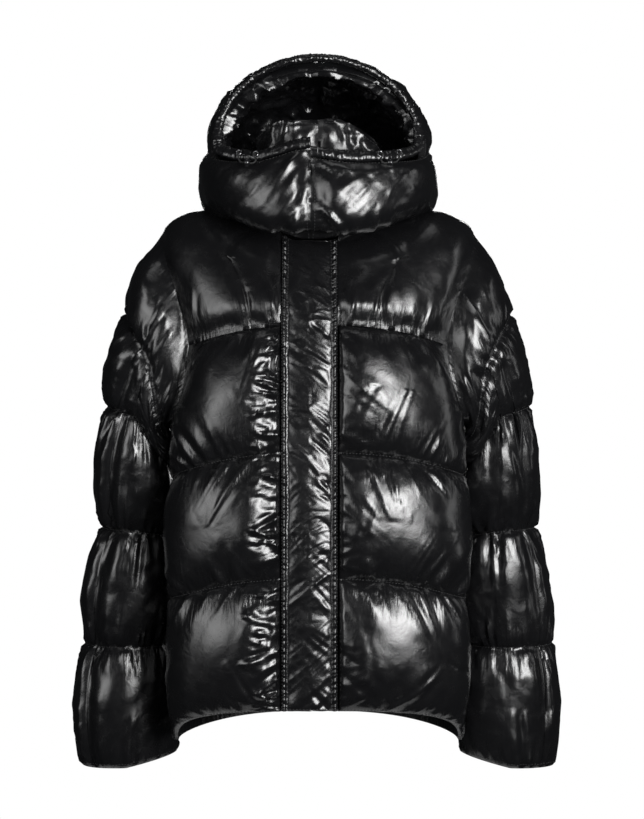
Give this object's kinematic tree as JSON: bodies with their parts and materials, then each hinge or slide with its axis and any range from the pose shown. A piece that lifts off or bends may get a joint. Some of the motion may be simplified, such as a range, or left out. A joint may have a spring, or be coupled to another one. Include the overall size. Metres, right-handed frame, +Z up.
{
  "type": "hooded puffer jacket",
  "caption": "Short hooded jacket of glossy padded cloth, filled out as if worn, quilted across in baffles, with a flap over the front closure and a corded hood.",
  "frame": {"origin": "middle of the neck's base at the height of the shoulders, where the wearer's shoulders carry the jacket", "axes": "+Z up, the front faces -Y, the wearer's left is +X"},
  "size_m": [0.6384, 0.3294, 0.9215],
  "materials": {
    "gloss_nylon": "high-gloss coated nylon",
    "eyelet_metal": "polished dark nickel",
    "stopper_plastic": "smooth black",
    "elastic_cord": "black braid"
  },
  "bodies": {
    "root": {"back": "gloss_nylon", "yoke_back": "gloss_nylon", "storm_flap": "gloss_nylon", "hood_channel": "gloss_nylon", "front_right": "gloss_nylon", "front_left": "gloss_nylon", "yoke_front_inner_right": "gloss_nylon", "yoke_front_inner_left": "gloss_nylon", "yoke_front_outer_right": "gloss_nylon", "yoke_front_outer_left": "gloss_nylon", "sleeve_top_right": "gloss_nylon", "sleeve_top_left": "gloss_nylon", "sleeve_under_right": "gloss_nylon", "sleeve_under_left": "gloss_nylon", "collar_right": "gloss_nylon", "collar_left": "gloss_nylon", "hood_funnel_right": "gloss_nylon", "hood_funnel_left": "gloss_nylon", "hood_crown_right": "gloss_nylon", "hood_crown_left": "gloss_nylon", "eyelet_right_outer": "eyelet_metal", "eyelet_right_inner": "eyelet_metal", "eyelet_left_inner": "eyelet_metal", "eyelet_left_outer": "eyelet_metal", "cord_right": "elastic_cord", "cord_left": "elastic_cord", "stopper_right": "stopper_plastic", "stopper_left": "stopper_plastic"}
  },
  "joints": []
}
